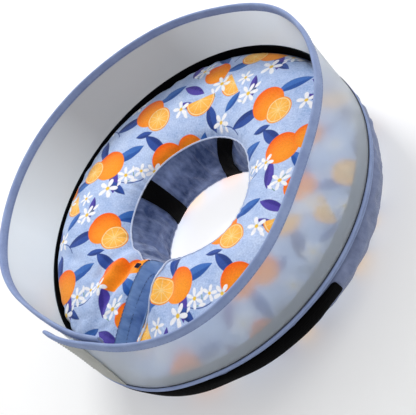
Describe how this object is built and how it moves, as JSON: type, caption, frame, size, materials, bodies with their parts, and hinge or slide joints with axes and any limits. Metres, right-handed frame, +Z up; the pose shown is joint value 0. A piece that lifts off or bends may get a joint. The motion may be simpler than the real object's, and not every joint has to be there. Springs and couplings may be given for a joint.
{
  "type": "inflatable recovery collar",
  "caption": "Puffed fabric neck ring for a pet, split at one side, with a frosted shield round its outer seam, bound edges, a closing strap and webbing loops in the hole.",
  "frame": {"origin": "on the floor under the axis of the neck hole, at the middle of the box", "axes": "+Z up along the axis of the neck hole, out of the shield's mouth; the ring's split is about 158 degrees clockwise from +X, seen from above"},
  "size_m": [0.3844, 0.3968, 0.1434],
  "materials": {
    "print_plush": "short plush, light blue with a printed fruit and leaf scatter",
    "plain_plush": "short velvety plush, plain blue",
    "binding_cloth": "folded woven binding, periwinkle blue",
    "frosted_sheet": "frosted flexible sheet, translucent",
    "clear_tape": "clear ribbed tape",
    "black_webbing": "black woven webbing and hook tape"
  },
  "bodies": {
    "root": {"front_cover": "print_plush", "back_cover": "print_plush", "hole_wall": "plain_plush", "side_gusset": "plain_plush", "end_cap_right": "plain_plush", "end_cap_left": "plain_plush", "shield_wall": "frosted_sheet", "rim_binding": "binding_cloth", "foot_binding": "binding_cloth", "inner_strip": "black_webbing", "end_tape": "clear_tape", "closing_strap": "black_webbing", "collar_loop_1": "black_webbing", "collar_loop_2": "black_webbing", "collar_loop_3": "black_webbing"}
  },
  "joints": []
}
